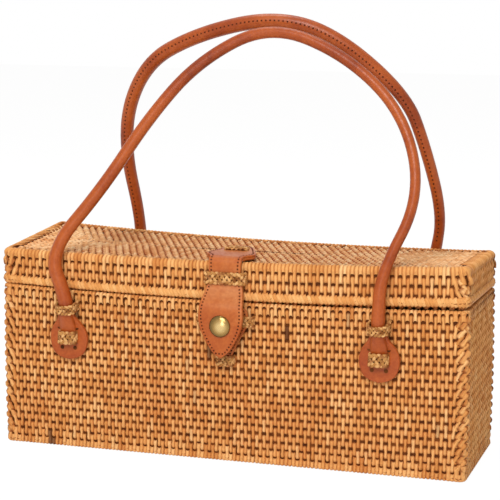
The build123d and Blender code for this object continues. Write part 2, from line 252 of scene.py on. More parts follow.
world = bpy.data.worlds.new("studio")
tree = empty_tree(world)
sky = add(tree, "ShaderNodeBackground", {"Color": (1, 0.98, 0.96, 1), "Strength": 0.28})
backdrop = add(tree, "ShaderNodeBackground", {"Color": (1, 1, 1, 1), "Strength": 1.0})
both = add(tree, "ShaderNodeMixShader", {0: seen_directly(tree), 1: sky, 2: backdrop})
add(tree, "ShaderNodeOutputWorld", {"Surface": both})
bpy.context.scene.world = world
hang_lamp("key", (0.2, -1.5, 1.35), (0, 0, 0.12), width=0.9, height=0.9, power=27)
hang_lamp("strip", (0.02, -1.5, 0.25), (0, 0, 0.1), width=0.2, height=0.8, power=3)
hang_lamp("top", (-0.3, 0.5, 1.9), (0, 0, 0.1), width=0.8, height=0.8, power=10.5)
print("lamps", [each.name for each in bpy.data.lights])

# %% [markdown]
# ## Effects that several finishes share
# Split vine and plaited straw show the same long fibres, so that effect is one shader group, fed by where a
# point lies on its own strand. Leather has a fine pebbled grain. All of them age in soft patches. Each group
# gives out only masks and heights, and the shaders stay in the materials.

# %% Build the shared shader groups
def noise(tree, where, scale, detail=2.0):
    """How strong a noise is at a place."""
    return add(tree, "ShaderNodeTexNoise", {"Vector": where, "Scale": scale, "Detail": detail})["Fac"]


def make_vine_fibre():
    """Long fibres along a strand, from the place across it, along it and the strand's own number."""
    inputs = (("Float", "Across", "Along", "Tint", "Fineness"),)
    tree, given = new_tree("vine_fibre", "ShaderNodeTree", inputs, (("Float", "Streak", "Height"),))
    across = given["Tint"] * 37.0 + given["Across"]
    place = add(tree, "ShaderNodeCombineXYZ", {0: across, 1: given["Along"] * 0.22, 2: given["Tint"]})
    streak = noise(tree, place, given["Fineness"], 3.0)
    return end_tree(tree, {"Streak": spread(streak, 0.3, 0.7), "Height": streak})


def make_age_patches():
    """Soft patches of two sizes over a whole piece."""
    inputs = (("Vector", "Vector"), ("Float", "Size"))
    tree, given = new_tree("age_patches", "ShaderNodeTree", inputs, (("Float", "Patch", "Speck"),))
    scale = 1.0 / given["Size"]
    patch = spread(noise(tree, given["Vector"], scale), 0.35, 0.68)
    speck = spread(noise(tree, given["Vector"], scale * 9.0), 0.4, 0.75)
    return end_tree(tree, {"Patch": patch, "Speck": speck})


def make_leather_grain():
    """Fine pebbled grain with pores."""
    inputs = (("Vector", "Vector"), ("Float", "Pebble"))
    tree, given = new_tree("leather_grain", "ShaderNodeTree", inputs, (("Float", "Height", "Mottle"),))
    scale = 1.0 / given["Pebble"]
    values = {"Vector": given["Vector"], "Scale": scale}
    cells = add(tree, "ShaderNodeTexVoronoi", values, feature="SMOOTH_F1")
    pores = noise(tree, given["Vector"], scale * 0.6, 4.0)
    return end_tree(tree, {"Height": cells["Distance"] * 0.6 + pores, "Mottle": spread(pores, 0.35, 0.65)})


vine_fibre = make_vine_fibre()
age_patches = make_age_patches()
leather_grain = make_leather_grain()
print("shader groups", [each.name for each in (vine_fibre, age_patches, leather_grain)])

# %% [markdown]
# ## Straw, leather and brass
# A strand of vine takes its colour from a ramp over its own random number, so neighbours differ as split
# stems do, and a rare one is dark brown bark. Painted shade darkens it toward its sides and where its ends
# dive into the coil. The leather is vegetable tanned: orange brown, darker in patches, with a soft shine. The
# snap is aged brass, painted bright in the middle and darker toward its edge as a painted highlight and
# shade.

# %% Make the finishes
def new_material(name):
    """A cleared material, its tree and the place on the object."""
    material = bpy.data.materials.new(name)
    tree = empty_tree(material)
    return material, tree, add(tree, "ShaderNodeTexCoord")["Object"]


def finish_material(material, values):
    """Feed a Principled shader and the material's output."""
    shader = add(material.node_tree, "ShaderNodeBsdfPrincipled", values)
    add(material.node_tree, "ShaderNodeOutputMaterial", {"Surface": shader})
    return material


def age_at(where, size):
    """Old patches of a size."""
    return add(where.tree, "ShaderNodeGroup", {"Vector": where, "Size": size * MM}, node_tree=age_patches)


def ramp(value, stops):
    """A colour ramp over a number, from (place, screen colour) stops."""
    colours = add(value.tree, "ShaderNodeValToRGB", {"Fac": value})
    points = colours.node.color_ramp.elements
    while len(points) < len(stops):
        points.new(0.5)
    for point, (place, colour) in zip(points, stops):
        point.position = place
        point.color = tone(*colour)
    return colours


def blend_colour(share, first, second, mode="MIX"):
    """Mix two colours."""
    values = {0: share, 6: first, 7: second}
    return add(share.tree, "ShaderNodeMix", values, data_type="RGBA", blend_type=mode)


def bump(height, strength):
    """The normal of a surface with small heights."""
    return add(height.tree, "ShaderNodeBump", {"Height": height, "Strength": strength, "Distance": 0.3 * MM})


def straw(name, stops, shade, roughness, end_shade_from=0.72, end_shade_share=0.8, side_shade_share=0.55):
    """Split vine: a ramp over each strand's number, fibres along it, painted shade at its ends and sides, and
    old patches.
    """
    material, tree, where = new_material(name)
    names = ("tint", "along", "across")
    tint, along, across = (add(tree, "ShaderNodeAttribute", attribute_name=each)["Fac"] for each in names)
    strand = {"Across": across, "Along": along, "Tint": tint, "Fineness": 3.0}
    fibre = add(tree, "ShaderNodeGroup", strand, node_tree=vine_fibre)
    darker = (
        (age_at(where, 35)["Patch"] * 0.2, shade), (fibre["Streak"] * 0.32, (196, 140, 96)),
        # Painted shade: a strand darkens toward its ends, where they dive into the coil.
        (spread(abs(along), end_shade_from, 1.0) * end_shade_share, (150, 92, 48)),
        # Painted shade: a strand darkens toward its sides, so that it reads round.
        (spread(abs(across), 0.25, 1.0) * side_shade_share, (176, 112, 62)),
    )
    colour = ramp(tint, stops)
    for share, dark in darker:
        colour = blend_colour(share, colour, tone(*dark), "MULTIPLY")
    return finish_material(material, {
        "Base Color": colour, "Specular IOR Level": 0.1, "Normal": bump(fibre["Height"], 0.35),
        "Roughness": spread(fibre["Streak"], 0.0, 1.0, roughness, roughness + 0.14),
    })


def leather(name, stops, pebble, roughness):
    """Tanned leather: broad patches of colour, pebbled grain and a soft shine."""
    material, tree, where = new_material(name)
    age = age_at(where, 45)
    grain = add(tree, "ShaderNodeGroup", {"Vector": where, "Pebble": pebble * MM}, node_tree=leather_grain)
    colour = ramp(age["Speck"] * 0.25 + age["Patch"] * 0.75, stops)
    return finish_material(material, {
        "Base Color": blend_colour(grain["Mottle"] * 0.22, colour, tone(190, 120, 80), "MULTIPLY"),
        "Specular IOR Level": 0.32, "Normal": bump(grain["Height"], 0.22),
        "Roughness": spread(grain["Mottle"], 0.0, 1.0, roughness, roughness + 0.12),
    })


def aged_brass():
    """Brass painted bright round the middle of the dome and dark toward its edge, a painted highlight and
    shade, with old patches and small specks.
    """
    material, _, where = new_material("aged_brass")
    age = age_at(where, 12)
    flat = (where - (1.2 * MM, 0, snap_z * MM)) * (1, 0, 1)
    # Painted highlight and shade: the colour runs from bright at the middle of the dome to dark at its edge.
    edge = spread(flat.of("LENGTH"), 1.0 * MM, 8.0 * MM)
    colour = ramp(edge, ((0.0, (224, 192, 130)), (0.5, (176, 140, 82)), (1.0, (104, 80, 40))))
    return finish_material(material, {
        "Base Color": blend_colour(age["Patch"] * 0.25, colour, tone(140, 112, 64)), "Metallic": 0.9,
        "Roughness": spread(age["Speck"], 0.0, 1.0, 0.2, 0.28),
    })


def dark_fibre(name, low, high):
    """The inside of a coil, dark partly as painted shade for the gaps, or a waxed thread: dark, rough and
    uneven.
    """
    material, _, where = new_material(name)
    age = age_at(where, 6)
    return finish_material(material, {
        "Base Color": blend_colour(age["Patch"], tone(*low), tone(*high)), "Specular IOR Level": 0.1,
        "Roughness": spread(age["Speck"], 0.0, 1.0, 0.6, 0.8),
    })


vine_stops = (
    (0.0, (217, 148, 80)), (0.14, (227, 160, 90)), (0.5, (237, 175, 105)), (0.85, (245, 188, 119)),
    (0.9955, (250, 202, 138)), (0.998, (104, 60, 34)),
)
# The lid's top takes lighter stops than the wall: painted light, for a top that catches more light.
top_stops_painted_light = ((0.0, (230, 168, 108)), (0.5, (249, 197, 140)), (1.0, (254, 216, 166)))
plait_stops = ((0.0, (178, 124, 66)), (0.5, (214, 162, 98)), (1.0, (232, 184, 122)))
handle_stops = ((0.0, (180, 88, 32)), (0.55, (160, 70, 20)), (1.0, (132, 52, 12)))
strap_stops = ((0.0, (199, 122, 66)), (0.5, (186, 98, 38)), (1.0, (168, 76, 20)))
# The lid's patches are lighter than the body's: painted light, for a lid that catches more light than the
# wall.
lid_patch_painted_light = (240, 200, 160)
body_straw = straw("body_straw", vine_stops, (226, 176, 136), 0.5)
lid_straw = straw("lid_straw", vine_stops[:5], lid_patch_painted_light, 0.46)
# The top's ends take stronger painted shade, so they read as dark dots between the stitches.
top_straw = straw("top_straw", top_stops_painted_light, lid_patch_painted_light, 0.46, end_shade_from=0.4, end_shade_share=1.0, side_shade_share=0.25)
rim_straw = straw("rim_straw", vine_stops[1:4], lid_patch_painted_light, 0.46, side_shade_share=0.2)
inner_straw = straw("inner_straw", vine_stops[:5], (230, 190, 150), 0.5)
plait_straw = straw("plait_straw", plait_stops, (220, 190, 140), 0.45)
# Partly painted shade: the coil is made dark so that the gaps between the stitches read as shaded.
coil_core = dark_fibre("coil_core", (80, 40, 14), (114, 62, 24))
waxed_thread = dark_fibre("waxed_thread", (74, 30, 12), (98, 44, 18))
handle_leather = leather("handle_leather", handle_stops, pebble=1.1, roughness=0.32)
strap_leather = leather("strap_leather", strap_stops, pebble=1.2, roughness=0.38)
brass = aged_brass()
print("finishes", len(bpy.data.materials))

# %% [markdown]
# ## One stitch of vine
# Seen close, the wall is thousands of short upright strands. Each passes over two coils, pinches in slightly
# between them, and dives into the coil at both ends. One such strand is drawn here as a small unit mesh
# with its place across and along stored on its points; every coil below repeats it.

# %% Draw the stitch
def strip(name, stations, section):
    """A crowned strip: stations of (place, height, half width, share along), points of (side, drop)."""
    spots = []
    for place, height, reach, along in stations:
        spots += [(side * reach, place, height - drop, along, side) for side, drop in section]
    count = len(section)
    firsts = [row * count + column for row in range(len(stations) - 1) for column in range(count - 1)]
    faces = [(first, first + 1, first + 1 + count, first + count) for first in firsts]
    thing = new_mesh(name, [spot[:3] for spot in spots], faces=faces, unit=1)
    thing.data.shade_smooth()
    for label, numbers in zip(("along", "across"), list(zip(*spots))[3:]):
        thing.data.attributes.new(label, "FLOAT", "POINT").data.foreach_set("value", numbers)
    return thing


def vine_stitch(name, half, section):
    """A straight stitch one unit long, from the (place, height, half width) stations of its second half."""
    whole = [(-place, height, reach) for place, height, reach in reversed(half[1:])] + list(half)
    return strip(name, [(*station, 2 * station[0]) for station in whole], section)


round_section = ((-1.0, 0.85), (-0.6, 0.24), (0.0, 0.0), (0.6, 0.24), (1.0, 0.85))
flat_section = ((-1.0, 0.4), (-0.5, 0.1), (0.0, 0.0), (0.5, 0.1), (1.0, 0.4))
low_section = ((-1.0, 0.7), (0.0, 0.0), (1.0, 0.7))
long_half = ((0.0, 0.5, 0.38), (0.25, 1.0, 0.52), (0.45, 0.45, 0.5), (0.5, -0.6, 0.43))
long_stitch = vine_stitch("long_stitch", long_half, round_section)
plain_stitch = vine_stitch("plain_stitch", ((0.0, 0.9, 0.5), (0.3, 0.85, 0.5), (0.5, -0.6, 0.4)), low_section)
wrap_stitch = vine_stitch("wrap_stitch", ((0.0, 1.0, 0.5), (0.34, 0.62, 0.5), (0.5, -0.6, 0.5)), flat_section)
print("stitch faces", [len(each.data.polygons) for each in (long_stitch, plain_stitch, wrap_stitch)])

# %% [markdown]
# ## Rows of stitches round an outline
# A coiled wall is one rule: go round the outline, step up a row, shift by half a stitch and go round again.
# That suits Geometry Nodes better than placing meshes one by one. The tree below numbers its points, turns
# each number into a place on the outline and a row, and lays one stitch there. The direction of the step
# decides the surface: upward makes a wall, inward makes a top, and both together go round an edge. Near a
# corner the stitches lean, and on a top those past the hip line are dropped.

# %% Build the tree of coil rows
def store(geometry, name, value):
    """Keep a number on the points of a geometry."""
    values = {"Geometry": geometry, "Name": name, "Value": value}
    return add(geometry.tree, "GeometryNodeStoreNamedAttribute", values, data_type="FLOAT", domain="POINT")


def realize(geometry, material, smooth=False):
    """Turn instances into a plain mesh with a material."""
    whole = add(geometry.tree, "GeometryNodeRealizeInstances", {"Geometry": geometry})
    if smooth:
        whole = add(geometry.tree, "GeometryNodeSetShadeSmooth", {"Geometry": whole})
    return add(geometry.tree, "GeometryNodeSetMaterial", {"Geometry": whole, "Material": material})


def resample(path, length):
    """A mesh path as a curve with points at even distances."""
    curve = add(path.tree, "GeometryNodeMeshToCurve", {"Mesh": path})
    return add(path.tree, "GeometryNodeResampleCurve", {"Curve": curve, "Length": length}, mode="LENGTH")


def make_coil_rows():
    """Stitches in staggered rows that start on an outline and step up, inward or both."""
    tree, given = new_tree("coil_rows", "GeometryNodeTree", (
        ("Geometry", "Outline"), ("Object", "Stitch"), ("Material", "Material"),
        ("Int", "Rows", "Columns", "Seed"), ("Float", "Rise", "Inset", "Side", "Lean", "Twist", "Shift"),
        ("Length", "Base", "Start Inset", "First", "Pitch", "Length", "Width", "Height"),
        ("Length", "Half Width", "Half Depth", "Lean Reach", "Wander", "Corner From", "Corner To"),
    ))
    columns = given["Columns"]
    outline = add(tree, "GeometryNodeMeshToCurve", {"Mesh": given["Outline"]})
    points = add(tree, "GeometryNodePoints", {"Count": given["Rows"] * columns})
    index = add(tree, "GeometryNodeInputIndex")
    row = ((index + 0.5) / columns).of("FLOOR")
    column = index - row * columns

    def chance(low, high, shift):
        """A random number for each stitch."""
        values = {"Min": low, "Max": high, "ID": index, "Seed": given["Seed"] + shift}
        return add(tree, "FunctionNodeRandomValue", values, data_type="FLOAT")

    stagger = row % 2.0 * 0.5 + given["Shift"]
    station = column + stagger + chance(-0.035, 0.035, 1.0)
    factor = ((station + columns) / columns).of("FRACT")
    sample = add(tree, "GeometryNodeSampleCurve", {"Curves": outline, "Factor": factor}, mode="FACTOR")
    tangent = sample["Tangent"]
    inward = tangent.of("CROSS_PRODUCT", (0, 0, 1)).of("NORMALIZE") * -1.0
    upward = add(tree, "ShaderNodeCombineXYZ", {2: given["Rise"]})
    step = (upward + inward * given["Inset"]).of("NORMALIZE")
    facing = tangent.of("CROSS_PRODUCT", step) * given["Side"]

    base = add(tree, "ShaderNodeCombineXYZ", {2: given["Base"]})
    start = sample["Position"] + inward * given["Start Inset"] + base
    level = row * given["Pitch"] + given["First"]
    values = {"Vector": start, "W": row, "Scale": 22.0, "Detail": 1.0}
    wave = add(tree, "ShaderNodeTexNoise", values, noise_dimensions="4D")["Fac"]
    place = start + step * ((wave - 0.5) * given["Wander"] + level)
    ring = step.of("DOT_PRODUCT", inward) * level + given["Start Inset"]

    parts = add(tree, "ShaderNodeSeparateXYZ", {0: place})
    from_end = given["Half Width"] - abs(parts["X"])
    from_side = given["Half Depth"] - abs(parts["Y"])
    corner = from_end.of("MAXIMUM", from_side) - ring
    hip = from_end.of("MINIMUM", from_side) - ring
    near = spread(corner, given["Lean Reach"], 0.0)
    way = place.of("DOT_PRODUCT", tangent).of("SIGN")
    angle = given["Twist"] + chance(-0.05, 0.05, 2.0) + near * way * given["Lean"]
    axes = {0: facing, 1: step}
    turned = add(tree, "FunctionNodeAxesToRotation", axes, primary_axis="Z", secondary_axis="Y")
    by = add(tree, "FunctionNodeAxisAngleToRotation", {"Axis": (0, 0, 1), "Angle": angle})
    rotation = add(tree, "FunctionNodeRotateRotation", {0: turned, 1: by}, rotation_space="LOCAL")
    size = add(tree, "ShaderNodeCombineXYZ", {
        0: (near * 0.6 + 1.0) * (given["Width"] * chance(0.93, 1.08, 3.0)),
        1: (near * 0.1 + 1.0) * (given["Length"] * chance(0.96, 1.02, 4.0)),
        2: given["Height"] * chance(0.9, 1.06, 5.0),
    })

    laid = add(tree, "GeometryNodeSetPosition", {"Geometry": points, "Position": place})
    within = (corner > given["Corner From"]) * (corner < given["Corner To"])
    instances = add(tree, "GeometryNodeInstanceOnPoints", {
        "Points": store(laid, "tint", chance(0.0, 1.0, 6.0)), "Selection": within * (hip > -1.4 * MM),
        "Instance": add(tree, "GeometryNodeObjectInfo", {"Object": given["Stitch"]})["Geometry"],
        "Rotation": rotation, "Scale": size,
    })
    return end_tree(tree, {"Geometry": realize(instances, given["Material"])})


def make_piece(name, tree, source, **values):
    """Run a tree on a source object, keep the result as a plain mesh and drop the source."""
    modifier = source.modifiers.new("make", "NODES")
    modifier.node_group = tree
    items = [item for item in tree.interface.items_tree if item.in_out == "INPUT"]
    sockets = {item.name.replace(" ", "_"): item for item in items}
    for label, value in values.items():
        socket = sockets[label]
        if socket.socket_type == "NodeSocketFloat":
            value = float(value) * (MM if socket.subtype == "DISTANCE" else 1)
        modifier[socket.identifier] = value
    source.update_tag()
    result = source.evaluated_get(bpy.context.evaluated_depsgraph_get())
    mesh = bpy.data.meshes.new_from_object(result)
    mesh.name = name
    bpy.data.objects.remove(source)
    return add_object(name, mesh)


coil_rows = make_coil_rows()
print("coil_rows nodes", len(coil_rows.nodes))

# %% [markdown]
# ## The settled shape
# The straw box isn't perfectly straight. With use its long rim sags in the middle, its ends bulge, and the
# lid is a little twisted: it stands off the rim at the right of the front and rises at the left of the back.
# The table holds these shifts at the left, middle and right, along the front and along the back, for the
# lower and the upper edge. One rule blends between them for every point of a woven piece.

# %% Let woven pieces settle
sag = {
    "basket": (0, rim_z, ((0, 0, 0), (0, 0, 0)), ((1.2, -1.6, 1.9), (0.5, -0.7, 0.8))),
    "lid": (lid_z, top_z, ((1.2, -1.3, 3.4), (0.5, -0.7, 0.8)), ((-2.2, -2.8, 2.2), (3.2, -2.2, -1.8))),
}
sag_reach = 150
end_bulge = 2.4


def move_points(thing, rule):
    """Let a rule change the coordinates of a mesh."""
    points = thing.data.vertices
    flat = np.empty(len(points) * 3, np.float32)
    points.foreach_get("co", flat)
    spots = flat.reshape(-1, 3).T.astype(float) / MM
    rule(*spots)
    points.foreach_set("co", (spots.T * MM).astype(np.float32).ravel())
    thing.data.update()


def settle(thing, body):
    """Let a woven piece of the basket or the lid sag, twist and bulge."""
    low, high, lower, upper = sag[body]

    def bow(place, marks):
        """A curve through the shifts at the left, middle and right."""
        left, middle, right = marks
        return middle + (right - left) / 2 * place + ((left + right) / 2 - middle) * place ** 2

    def rule(x, y, z):
        place = x / sag_reach
        back = np.clip(0.5 + y / half_depth / 2, 0, 1)
        shifts = [(1 - back) * bow(place, fore) + back * bow(place, rear) for fore, rear in (lower, upper)]
        first, last = shifts
        share = np.clip((z - low) / (high - low), 0, 1)
        bulge = 0.7 + 0.3 * np.sin(np.clip(z / rim_z, 0, 1) * math.pi)
        x += end_bulge * bulge * np.sign(x) * (x / half_width) ** 2
        z += first + (last - first) * share

    move_points(thing, rule)


def dress(thing, body, slot, *nodes):
    """Let a piece ride on a body and stand for solids; its slot, meant to name its finish, is not used."""
    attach(thing, body)
    if nodes:
        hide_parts(*nodes)
    print(thing.name, "faces", len(thing.data.polygons))
    return thing


print("settled bodies", list(sag))

# %% [markdown]
# ## Weaving along the outline
# Every woven piece runs the tree on the same rounded outline of the basket. Where the weave goes over an edge
# its stitches are bent, so a bent strip is drawn for each edge from a side view of it. Such a stitch narrows
# and dips where it passes a row of gaps, as the straight ones do.

# %% Helpers for outlines and weaving
rows = 20
columns = 162
everywhere = 1000
dip_depth = 0.7
dip_reach = 1.5
tip_reach = 2.2
pinch_share = 0.27
crown = 1.2


def rounded_ring(inset, radius, steps, splits=1):
    """Points counterclockwise round the basket, with round corners and each side cut into equal parts."""
    arcs = []
    for quarter, (x, y) in enumerate(((1, 1), (-1, 1), (-1, -1), (1, -1))):
        angles = [math.radians(90 * quarter + 90 * step / steps) for step in range(steps + 1)]
        middle = np.array((x * (half_width - inset - radius), y * (half_depth - inset - radius)))
        arcs.append([middle + radius * np.array((math.cos(a), math.sin(a))) for a in angles])
    ring = []
    for arc, after in zip(arcs, arcs[1:] + arcs[:1]):
        ring += arc + [arc[-1] + (after[0] - arc[-1]) * part / splits for part in range(1, splits)]
    return ring


def path_object(points, closed=False, **carried):
    """A run of edges through points, with numbers or directions stored on each."""
    count = len(points)
    path = new_mesh("path", points, [(i, (i + 1) % count) for i in range(count if closed else count - 1)])
    for label, values in carried.items():
        values = np.asarray(values, np.float32)
        kind, field = ("FLOAT", "value") if values.ndim == 1 else ("FLOAT_VECTOR", "vector")
        path.data.attributes.new(label, kind, "POINT").data.foreach_set(field, values.ravel())
    return path


def weave(name, body, *nodes, **values):
    """A woven piece that follows the basket's outline."""
    usual = {
        "Stitch": long_stitch, "Material": body_straw, "Rows": 1, "Columns": columns, "Rise": 1, "Side": 1,
        "Half_Width": half_width, "Half_Depth": half_depth, "Lean_Reach": 15,
        "Corner_From": -everywhere, "Corner_To": everywhere,
    }
    thing = make_piece(name, coil_rows, path_object(outline, closed=True), **{**usual, **values})
    settle(thing, body)
    return dress(thing, body, "straw", *nodes)


def bend_profile(radius, turn, first_leg, last_leg, sink=1.4):
    """Pairs of (inset, height) up a wall, round an edge by an angle and on, with both ends sunk."""
    heading = (math.sin(turn), math.cos(turn))
    inner = (math.cos(turn), -math.sin(turn))
    leg = [(0, z) for z in np.linspace(-first_leg, -radius, 9)[:-1]]
    bend = [(radius - radius * math.cos(a), radius * math.sin(a) - radius) for a in np.linspace(0, turn, 7)]
    end = [bend[-1][axis] + heading[axis] * last_leg for axis in (0, 1)]
    sunk = [end[axis] + heading[axis] * sink / 5 + inner[axis] * sink for axis in (0, 1)]
    return [(sink, -first_leg - sink / 5), *leg, *bend, end, sunk]


def distances(run):
    """How far along a run of points each one lies."""
    return np.concatenate(([0], np.cumsum(np.linalg.norm(np.diff(run, axis=0), axis=1))))


def edge_weave(name, body, profile, edge, heart, rise, inset, waist=math.inf, width=2.8, **values):
    """Stitches bent over an edge, from a profile of (inset, height) pairs that starts at the sharp edge.

    They pinch in and dip at a distance along the profile where they pass a row of gaps.
    """
    reach = math.hypot(inset, rise)
    run = np.array(profile) - np.array(heart)
    marks = distances(run)
    pinch = np.exp(-(((marks - waist) / dip_reach) ** 2))
    tip = np.exp(-(((marks - marks[1]) / tip_reach) ** 2))
    run[:, 0] += dip_depth * (pinch + tip)
    place = run @ np.array((inset, rise)) / reach
    height = run @ np.array((-rise, inset)) / reach
    reaches = width / 2 * (1 - pinch_share * pinch)
    order = 1 if place[-1] > place[0] else -1
    stations = list(zip(place, height, reaches, 2 * marks / marks[-1] - 1))[::order]
    stitch = strip("bent_stitch", stations, [(side, drop * crown) for side, drop in round_section])
    weave(
        name, body, Stitch=stitch, Start_Inset=heart[0], Base=edge + heart[1], Rise=rise, Inset=inset,
        Length=1, Width=1, Height=1, **values,
    )
    bpy.data.objects.remove(stitch)


outline = [(x, y, 0) for x, y in rounded_ring(inset=0, radius=5, steps=6)]
print("outline points", len(outline))

# %% [markdown]
# ## The basket
# Twenty coils make the wall. Its stitches stand about five millimetres apart, and they lean into the corners
# so that the two faces meet in a row of arrowheads. Foot and rim are bound by stitches bent over the edge,
# long and short in turn, so the rows of gaps go on beside them. The underside, the inside and the floor are
# woven by the same tree with other steps.

# %% Weave the basket
rim_gap = 3.4
rim_stretch = 1.66
foot_lift = 0.3
row_pitch = (rim_z - rim_gap) / rows
seat = 1.5
strand = {"Start_Inset": seat, "Width": 2.65, "Height": 1.45}
lining = {
    "Stitch": plain_stitch, "Material": inner_straw, "Columns": columns - 8, "Start_Inset": wall - seat,
    "Side": -1, "Width": 2.9, "Height": 1.4,
}
panel = {
    "Rows": 8, "Stitch": plain_stitch, "Material": inner_straw, "Start_Inset": wall, "Rise": 0, "Inset": 1,
    "First": 2, "Pitch": 5.5, "Length": 11, "Width": 2.9, "Height": 1.3, "Lean": 0.6, "Lean_Reach": 30,
}
weave(
    "basket_wall", "basket", "basket_body", **strand, Rows=rows - 2, First=2 * row_pitch, Pitch=row_pitch,
    Shift=0.5, Length=1.83 * row_pitch, Lean=-0.75, Lean_Reach=10, Wander=1, Seed=3,
)
for part, shift, longer, waist in (("short", 0.5, 0, math.inf), ("long", 0, row_pitch, row_pitch + 0.9)):
    bend = bend_profile(radius=1.8, turn=math.pi / 2, first_leg=row_pitch - 0.9 + longer, last_leg=3.5)
    foot = [(inset, foot_lift - height) for inset, height in bend]
    edge_weave(
        f"basket_foot_{part}", "basket", foot, edge=0, heart=(0.9, 0.9), rise=1, inset=-1, waist=waist,
        Shift=shift, Seed=5,
    )
    bend = bend_profile(radius=1.75, turn=math.pi, first_leg=rim_gap - 1.6 + longer, last_leg=1.5)
    rim = [(rim_stretch * inset, height) for inset, height in bend]
    edge_weave(
        f"basket_rim_{part}", "basket", rim, edge=rim_z - 0.5, heart=(2.9, -2), rise=0, inset=1,
        waist=waist + 0.5, Shift=0.5 - shift, Seed=9,
    )
under = {"Material": body_straw, "Start_Inset": 4, "Base": 1.5, "First": 1.5, "Pitch": 5.6, "Height": 1.4}
weave("basket_underside", "basket", **{**panel, **under}, Side=-1, Seed=7)
weave(
    "basket_inside", "basket", **lining, Rows=rows - 2, Base=6, First=row_pitch * 0.8, Pitch=row_pitch,
    Length=2 * row_pitch, Wander=1, Seed=11,
)
weave("basket_floor", "basket", **panel, Base=4.8, Seed=13)

# %% [markdown]
# ## The lid
# The lid has open rows above a smooth bound rim. Its top goes round and round toward the middle, so the
# stitches meet along hips that run in from the corners. The stitches of the last side row bend over the
# rounded edge, long and short in turn as on the basket; at the corners even the long ones stop early on top.

# %% Weave the lid
lid_pitch = 6.8
lid_first = 6.9
top_pitch = 5.4
lid_bend = 3.6
first_ring = 5
corner_reach = 10.2
weave(
    "lid_side", "lid", "lid_shell", **strand, Material=lid_straw, Rows=2, Base=lid_z, First=lid_first,
    Pitch=lid_pitch, Length=1.86 * lid_pitch, Lean=0.55, Lean_Reach=14, Wander=0.8, Seed=15,
)
last_row = top_z - lid_z - lid_first - 2 * lid_pitch
lid_waist = lid_pitch + 0.6
edge_parts = (
    ("long", 0, last_row + lid_pitch, first_ring + top_pitch - 0.6, corner_reach, everywhere, lid_waist),
    ("corner", 0, last_row + lid_pitch, first_ring, -everywhere, corner_reach, lid_waist),
    ("short", 0.5, last_row, first_ring, -everywhere, everywhere, math.inf),
)
for part, shift, down, across, nearest, farthest, waist in edge_parts:
    bend = bend_profile(lid_bend, math.pi / 2, first_leg=down - 1, last_leg=across - lid_bend - 0.8)
    edge_weave(
        f"lid_edge_{part}", "lid", bend, edge=top_z, heart=(1.8, -1.8), rise=1, inset=1, waist=waist,
        Material=lid_straw, Shift=shift, Corner_From=nearest, Corner_To=farthest, Lean=0.35, Lean_Reach=14,
        Seed=17,
    )
weave(
    "lid_top", "lid", Material=top_straw, Rows=8, Start_Inset=first_ring, Base=top_z - 2, Rise=0, Inset=1,
    First=top_pitch, Pitch=top_pitch, Length=1.56 * top_pitch, Width=2.7, Height=1.7, Lean=0.5, Lean_Reach=45,
    Wander=0.6, Shift=0.5, Seed=19,
)
wrap = {"Stitch": wrap_stitch, "Material": rim_straw, "Columns": 2 * columns}
weave(
    "lid_rim", "lid", **wrap, Start_Inset=0.9, Base=lid_z, First=3.1, Length=7.1, Width=3, Height=1.4,
    Twist=0.5, Seed=21,
)
weave(
    "lid_rim_under", "lid", **wrap, Start_Inset=wall / 2, Base=lid_z + 1.6, Rise=0, Inset=1, Side=-1,
    Length=6.4, Width=2.9, Height=1.5, Twist=0.35, Seed=23,
)
weave(
    "lid_inside", "lid", **lining, Rows=3, Base=lid_z, First=5, Pitch=lid_pitch, Length=2 * lid_pitch,
    Seed=25,
)
weave("lid_ceiling", "lid", **panel, Base=top_z - 4.2, Side=-1, Seed=27)

# %% [markdown]
# ## The coils behind the stitches
# Between the stitches one sees the coil that they bind. A plain closed shell just under the stitches is
# enough for that; it is dark partly in its own colour and partly as painted shade in the gaps. It is lofted
# from a profile of insets and heights, one ring of points for each.

# %% Loft the coil shells
def loft(name, rings, material, smooth=True):
    """A closed mesh through rings of points, with its normals outward; a ring of one point is a pole."""
    build = bmesh.new()
    loops = [[build.verts.new([v * MM for v in point]) for point in ring] for ring in rings]
    count = max(len(loop) for loop in loops)
    for low, high in zip(loops, loops[1:]):
        for i in range(count):
            after = (i + 1) % count
            corners = (low[i % len(low)], low[after % len(low)], high[after % len(high)], high[i % len(high)])
            build.faces.new(list(dict.fromkeys(corners)))
    for end in (loops[0][::-1], loops[-1]):
        if len(end) > 1:
            build.faces.new(end)
    bmesh.ops.recalc_face_normals(build, faces=build.faces)
    mesh = bpy.data.meshes.new(name)
    build.to_mesh(mesh)
    build.free()
    if smooth:
        mesh.shade_smooth()
    mesh.materials.append(material)
    return add_object(name, mesh)


def coil_shell(name, body, profile):
    """A closed shell round the basket from (inset, height) pairs; both ends are filled across."""
    rings = []
    for inset, height in profile:
        radius = max(shell_round - inset, least_round)
        rings.append([(x, y, height) for x, y in rounded_ring(inset, radius, steps=4, splits=12)])
    thing = loft(name, rings, coil_core, smooth=False)
    settle(thing, body)
    dress(thing, body, "straw")


shell_round = 4.5
least_round = 0.8
middle_insets = (48, 35, 20)
skin = 1.6
lining_inset = 4.4
floor_z = 4.8
coil_shell("basket_coils", "basket", (
    *((inset, skin) for inset in middle_insets), (4.5, skin), (2.2, 2.6), (skin, 6), (skin, 0.5 * rim_z),
    (skin, rim_z - skin), (lining_inset, rim_z - skin), (lining_inset, 0.5 * rim_z), (lining_inset, floor_z),
    *((inset, floor_z) for inset in reversed(middle_insets)),
))
lid_roof = top_z - 2.2
ceiling_z = top_z - 4
coil_shell("lid_coils", "lid", (
    *((inset, lid_roof) for inset in middle_insets), (4.2, lid_roof), (2.2, top_z - 2.9), (skin, ceiling_z),
    (skin, lid_z + skin), (lining_inset, lid_z + skin), (lining_inset, ceiling_z),
    *((inset, ceiling_z) for inset in reversed(middle_insets)),
))
